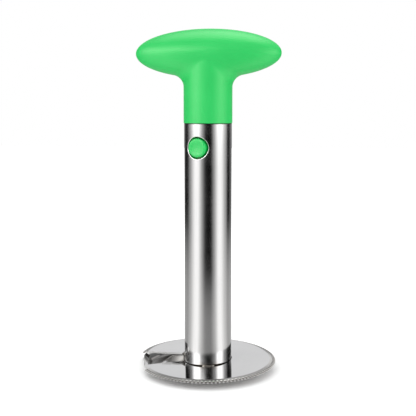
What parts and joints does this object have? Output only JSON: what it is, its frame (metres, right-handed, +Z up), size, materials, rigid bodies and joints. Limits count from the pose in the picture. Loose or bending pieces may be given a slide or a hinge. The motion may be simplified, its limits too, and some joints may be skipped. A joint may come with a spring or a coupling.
{
  "type": "pineapple slicer",
  "caption": "Hand tool for fruit: a steel core tube with a toothed helical slicing blade round its lower end, and a T grip that slides out of the tube when a sprung button is pressed.",
  "frame": {"origin": "on the core tube's axis, on the plane that the tube's teeth stand on", "axes": "+Z up along the tube towards the grip, X along the grip's bar, -Y the side nearest the release button"},
  "size_m": [0.0944, 0.0898, 0.2226],
  "materials": {
    "green_cover": "satin, slightly soft to the touch",
    "green_plastic": "satin moulded",
    "core_plastic": "moulded, unpainted",
    "tube_steel": "brushed lengthwise",
    "blade_steel": "polished",
    "weld_steel": "rough weld bead",
    "spring_steel": "drawn wire",
    "screw_steel": "zinc plated"
  },
  "bodies": {
    "tube_and_blade": {"core_tube": "tube_steel", "slicing_blade": "blade_steel", "weld_beads": "weld_steel"},
    "grip": {"grip_cover": "green_cover", "core_half_front": "core_plastic", "core_half_back": "core_plastic", "tube_plug": "green_plastic", "plug_screws": "screw_steel", "spring_seat": "core_plastic", "button_spring": "spring_steel"},
    "button": {"release_button": "green_plastic"}
  },
  "joints": [
    {"name": "grip_lift", "type": "slide", "parent": "tube_and_blade", "child": "grip", "axis": [0, 0, 1], "range_m": [0, 0.15]},
    {"name": "button_press", "type": "slide", "parent": "grip", "child": "button", "axis": [0.3322, 0.9432, 0], "range_m": [0, 0.0032], "stiffness_N_per_m": 1200, "springref_m": -0.003, "deforming": ["button_spring"]}
  ]
}
